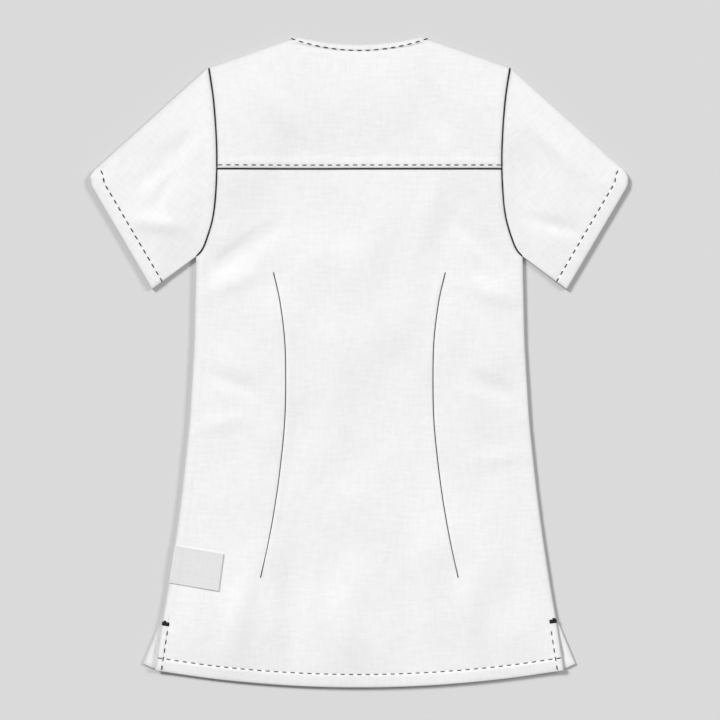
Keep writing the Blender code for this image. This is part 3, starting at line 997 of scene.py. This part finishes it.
# Back stitches that overlap end to end, so that they read as one dark line.
def seamRow(shape, path, heightAt, wide, high):
    length = pathLength(path)
    count = math.ceil(length / seamStitch["pitch"])
    pitch = length / count
    overlap = 0.5 * (seamStitch["long"] - pitch)
    for i in range(count):
        first, last = alongPath(path, i * pitch), alongPath(path, (i + 1) * pitch)
        along = (last - first).normalized()
        slant = Vector((-along.y, along.x)) * seamStitch["slant"] * wide
        start = first - slant - along * (overlap if i else 0)
        end = last + slant + along * (overlap if i < count - 1 else 0)
        ends = [inRowFrame(spot.x, spot.y, heightAt(spot.x, spot.y)) for spot in (start, end)]
        addStitch(shape, *ends, wide, high)


def inDitch(x, drop):
    return backHeight(x, drop) - seamStitch["depth"]


def underArmhole(x, drop):
    return seamStitch["under"]


def makeSeams(material):
    wide, dartWide, underHigh = (seamStitch[size] for size in ("seamWide", "dartWide", "underHigh"))
    half = curveAt(armholeLine, pattern["yokeDrop"]) - seamStitch["yokeEnd"]
    yokeLine = [Vector((x, pattern["yokeDrop"])) for x in (-half, half)]
    armTop = pattern["shoulder"][1] + seamStitch["shoulderEnd"]
    seamDrops = evenly(armTop, underarmDrop - seamStitch["underarmEnd"], seamStitch["armStep"])
    dartDrops = evenly(dartLine[0][0], dartLine[-1][0], seamStitch["dartStep"])
    armLines, dartLines = [], []
    for hand in (-1, 1):
        arm = curvePath(armholeLine, seamDrops, hand)
        armLines += [(arm, inDitch, wide, wide), (arm, underArmhole, wide, underHigh)]
        dartLines.append((curvePath(dartLine, dartDrops, hand), backHeight, dartWide, dartWide))
    makeSewing("yokeSeam", [(yokeLine, inDitch, wide, wide)], material, seamRow)
    makeSewing("armholeSeams", armLines, material, seamRow)
    makeSewing("dartSeams", dartLines, material, seamRow)


barTack = {
    "drop": 0.6564,
    "skew": 0.0030,  # the left one lies this much lower than the right one
    "long": 0.0076,
    "wide": 0.0045,
    "threads": 19,
    "threadWide": 0.00066,
    "slant": 0.030,  # share of the length that each leg of the zigzag covers
    "crown": 0.0004,  # the tack's middle stands this much higher
    "cross": 0.12,  # the halves of a leg cross by this share of it
    "firstLoops": 5,  # the thread's first loops stand above the tack
    "loopWide": 0.0022,
    "loopFrom": 0.22,  # share of the length where they start, and from one to the next
    "loopPitch": 0.07,
    "loopRise": 0.55,  # share of the width that their middle stands above the tack's
    "clear": 0.0100,  # from the tack's middle to the vent's own stitches
}


# Close zigzags square to the vent edge.
def makeBarTacks(material):
    shape = bmesh.new()
    edgeHalf = curveAt(backVent, barTack["drop"])
    (topDrop, topHalf), (lowDrop, lowHalf) = backVent
    lean = math.atan2(lowHalf - topHalf, lowDrop - topDrop)
    inward = Vector((-math.cos(lean), math.sin(lean)))
    down = Vector((math.sin(lean), math.cos(lean)))
    threads = [(i / (barTack["threads"] - 1), 0, barTack["wide"]) for i in range(barTack["threads"])]
    rise = -barTack["loopRise"] * barTack["wide"]
    for i in range(barTack["firstLoops"]):
        threads.append((barTack["loopFrom"] + barTack["loopPitch"] * i, rise, barTack["loopWide"]))

    # A thread is its share of the way along, its offset down and how wide it is.
    def tackSpot(outer, hand, thread, slant, end):
        share, offset, wide = thread
        along = barTack["long"] * (share + slant * end)
        spot = outer + inward * along + down * (offset + wide * end)
        height = onBack(hand * spot.x, spot.y) + barTack["crown"] * (1 - 2 * abs(end))
        return inRowFrame(hand * spot.x, spot.y, height)

    halves = ((-0.5, 0.5 * barTack["cross"]), (-0.5 * barTack["cross"], 0.5))
    for hand, lower in ((-1, 0.5 * barTack["skew"]), (1, -0.5 * barTack["skew"])):
        outer = Vector((edgeHalf, barTack["drop"] + lower))
        for i, thread in enumerate(threads):
            slant = barTack["slant"] * (-1) ** i
            for half in halves:
                ends = [tackSpot(outer, hand, thread, slant, end) for end in half]
                addStitch(shape, *ends, barTack["threadWide"], barTack["threadWide"])
    makePiece("barTacks", shape, material)


# The label's corners run from the seam's upper end round.
label = {
    "corners": ((-0.2066, 0.5705), (-0.1518, 0.5797), (-0.1574, 0.6218), (-0.2130, 0.6126)),
    "thick": 0.0007,
    "above": 0.00015,  # over the back's cloth
    # painted shade along the label's edges, lighter than on the cloth
    "paintedEdgeShade": 0.1,
    "lift": 0.0002,  # the free end stands this far off the cloth
    "caught": 0.020,  # from here on out
    "reach": 0.056,
    "dip": 0.0015,  # width of the end that the seam presses down
    "grain": math.radians(-9),
    "steps": rimSteps + (0.0015,),
    "columns": 40,
    "rows": 32,
}


def labelWall(x, drop):
    fromSeam = curveAt(sideLine, drop) - abs(x)
    lift = label["lift"] * smooth(fromSeam, label["caught"], label["reach"]) ** 2
    dip = label["thick"] * (1 - rounded(max(fromSeam, 0), label["dip"]))
    under = backHeight(x, drop) + label["above"] + lift - dip
    return under + 0.5 * label["thick"], label["thick"]


# Distances along one side of the label, closer at both ends.
def labelSteps(length, count):
    steps = label["steps"]
    middle = evenly(steps[-1], length - steps[-1], length / count)[1:-1]
    return list(steps) + middle + [length - step for step in reversed(steps)]


def makeLabel(material):
    first, second, third, fourth = (Vector(corner) for corner in label["corners"])
    wide, tall = (second - first).length, (fourth - first).length
    across, down = labelSteps(wide, label["columns"]), labelSteps(tall, label["rows"])

    def place(column, row):
        x, y = across[column], down[row]
        spot = first.lerp(second, x / wide).lerp(fourth.lerp(third, x / wide), y / tall)
        return inRowFrame(spot.x, spot.y), min(x, wide - x, y, tall - y)

    sheet = placedGrid(len(across), len(down), place)
    giveWall(sheet, labelWall, label["paintedEdgeShade"])
    piece = makePiece("labelTape", sheet, material, label["grain"])
    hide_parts("side_label")


def nodeMaterial(name, look):
    material = bpy.data.materials.new(name)
    material.use_nodes = True
    shader = material.node_tree.nodes["Principled BSDF"]
    shader.inputs["Roughness"].default_value = look["roughness"]
    shader.inputs["Specular IOR Level"].default_value = look["specular"]
    return material, material.node_tree, shader


# Each value goes to its input: another node's output is linked to it, anything else is set there.
def addNode(tree, kind, values, **settings):
    node = tree.nodes.new("ShaderNode" + kind)
    for setting, choice in settings.items():
        setattr(node, setting, choice)
    for socket, value in values.items():
        if isinstance(value, bpy.types.NodeSocket):
            tree.links.new(value, node.inputs[socket])
        else:
            node.inputs[socket].default_value = value
    return node


def mixColours(tree, factor, first, second):
    values = {"Factor": factor, "A": first, "B": second}
    return addNode(tree, "Mix", values, data_type="RGBA").outputs["Result"]


# Colours the surface and bumps it by a height.
def finishShader(tree, shader, look, colour, height):
    tree.links.new(colour, shader.inputs["Base Color"])
    values = {"Strength": look["bump"], "Distance": look["relief"], "Height": height}
    tree.links.new(addNode(tree, "Bump", values).outputs["Normal"], shader.inputs["Normal"])


twill = {
    "white": {"colour": (0.95, 0.95, 0.945), "shade": (0.84, 0.84, 0.848), "pitch": 0.0005},
    "grey": {"colour": (0.80, 0.80, 0.805), "shade": (0.73, 0.73, 0.735), "pitch": 0.0009},
    "repeat": 3,  # threads in a repeat, and the share of it where the weft lies on top
    "weftShare": 0.3,
    "ridgeTone": 0.3,  # how much the threads' own roundness shows in the colour
    "slubScale": 70,
    "slubDetail": 5,
    "slubs": ((5, 0.7, 1), (0.8, 4, 1)),  # uneven threads along the warp and across it
    "paintedShadeShare": 0.45,  # full painted shade at an edge leaves this share of the colour
    "bump": 0.35,
    "relief": 0.0002,
    "roughness": 0.82,
    "specular": 0.3,
    "sheen": 0.09,
    "sheenRoughness": 0.5,
}


# Twill: warp and weft ridges on the grain's UV map, with slubs, and greyed by the painted shade in the
# shade attribute.
def clothMaterial(name, look):
    material, tree, shader = nodeMaterial(name, twill)
    shader.inputs["Sheen Weight"].default_value = twill["sheen"]
    shader.inputs["Sheen Roughness"].default_value = twill["sheenRoughness"]

    def maths(operation, *values):
        return addNode(tree, "Math", dict(enumerate(values)), operation=operation).outputs[0]

    grain = addNode(tree, "UVMap", {}, uv_map="grain").outputs["UV"]
    split = addNode(tree, "SeparateXYZ", {0: grain})
    threads = [maths("MULTIPLY", split.outputs[axis], 1 / look["pitch"]) for axis in ("X", "Y")]
    ridges = [maths("ABSOLUTE", maths("SINE", maths("MULTIPLY", run, math.pi))) for run in threads]
    diagonal = maths("ADD", maths("FLOOR", threads[0]), maths("FLOOR", threads[1]))
    inRepeat = maths("FRACT", maths("DIVIDE", diagonal, twill["repeat"]))
    warpOver = maths("GREATER_THAN", inRepeat, twill["weftShare"])
    weave = addNode(tree, "Mix", {"Factor": warpOver, "A": ridges[1], "B": ridges[0]}).outputs[0]

    slubs = []
    for stretch in twill["slubs"]:
        stretched = addNode(tree, "Mapping", {"Vector": grain, "Scale": stretch}).outputs["Vector"]
        values = {"Vector": stretched, "Scale": twill["slubScale"], "Detail": twill["slubDetail"]}
        slubs.append(addNode(tree, "TexNoise", values).outputs["Fac"])
    slub = maths("SUBTRACT", maths("ADD", *slubs), 0.5)

    ramp = maths("ADD", maths("MULTIPLY", weave, twill["ridgeTone"]), slub)
    clean = mixColours(tree, ramp, (*look["shade"], 1), (*look["colour"], 1))
    # painted shade: the shade attribute greys the edges and the flap's inner side
    shade = addNode(tree, "Attribute", {}, attribute_name="shade").outputs["Fac"]
    grey = [twill["paintedShadeShare"] * part for part in look["colour"]]
    tone = mixColours(tree, shade, clean, (*grey, 1))
    finishShader(tree, shader, twill, tone, maths("ADD", weave, slub))
    return material


thread = {
    "colour": (0.007, 0.007, 0.008),
    "strandColour": (0.020, 0.020, 0.022),
    "strandScale": 900,
    "twist": 1.5,  # how unevenly the strands run
    "bump": 0.3,
    "relief": 0.0001,
    "roughness": 0.7,
    "specular": 0.25,
}


# Spun thread: fine diagonal strands.
def threadMaterial(name):
    material, tree, shader = nodeMaterial(name, thread)
    place = addNode(tree, "TexCoord", {}).outputs["Object"]
    values = {"Vector": place, "Scale": thread["strandScale"], "Distortion": thread["twist"]}
    strands = addNode(tree, "TexWave", values, bands_direction="DIAGONAL").outputs["Fac"]
    tone = mixColours(tree, strands, (*thread["colour"], 1), (*thread["strandColour"], 1))
    finishShader(tree, shader, thread, tone, strands)
    return material


whiteCloth = clothMaterial("whiteCloth", twill["white"])
greyTape = clothMaterial("greyTape", twill["grey"])
blackThread = threadMaterial("blackThread")

makeFront(whiteCloth)
makeYoke(whiteCloth)
makeBack(whiteCloth)
print("body panels laid")
makeSleeve("sleeveLeftCloth", -1, "sleeve_left", whiteCloth)
makeSleeve("sleeveRightCloth", 1, "sleeve_right", whiteCloth)
print("sleeves laid")
makeLabel(greyTape)
print("label sewn in")
makeYokeTopstitch(blackThread)
makeNeckTopstitch(blackThread)
makeHemTopstitch(blackThread)
makeVentTopstitch(blackThread)
makeCuffTopstitch(blackThread)
makeSeams(blackThread)
makeBarTacks(blackThread)
print("sewing done")

studio = {
    "floor": {"colour": (0.70, 0.70, 0.705), "half": 15, "roughness": 0.9, "specular": 0.2},
    "floorGap": 0.0004,  # the cloth's underside stands this far above the floor, on its stitches
    "key": {"from": (-1.0, 0.85, 0.75), "strength": 3.25, "spread": 16},
    "fill": {"from": (1.0, 0.35, 0.50), "strength": 1.60, "spread": 16},
    "sky": 0.27,
}


def makeFloor():
    look = studio["floor"]
    shape = bmesh.new()
    bmesh.ops.create_grid(shape, x_segments=1, y_segments=1, size=look["half"])
    bmesh.ops.translate(shape, vec=(0, 0, cadLow[2] - studio["floorGap"]), verts=shape.verts[:])
    floor = addObject("floor", meshFrom(shape, "floor"))
    material, _, shader = nodeMaterial("paleFloor", look)
    shader.inputs["Base Color"].default_value = (*look["colour"], 1)
    floor.data.materials.append(material)


def makeLight(name):
    look = studio[name]
    data = bpy.data.lights.new(name, "SUN")
    data.energy = look["strength"]
    data.angle = math.radians(look["spread"])
    lamp = addObject(name, data)
    lamp.rotation_euler = (-Vector(look["from"])).to_track_quat("-Z", "Y").to_euler()


def makeSky():
    world = bpy.data.worlds.new("studio")
    world.use_nodes = True
    background = world.node_tree.nodes["Background"]
    background.inputs["Color"].default_value = (1, 1, 1, 1)
    background.inputs["Strength"].default_value = studio["sky"]
    bpy.context.scene.world = world


makeFloor()
makeLight("key")
makeLight("fill")
makeSky()
bpy.context.scene.view_settings.view_transform = "Standard"
print("stage set")
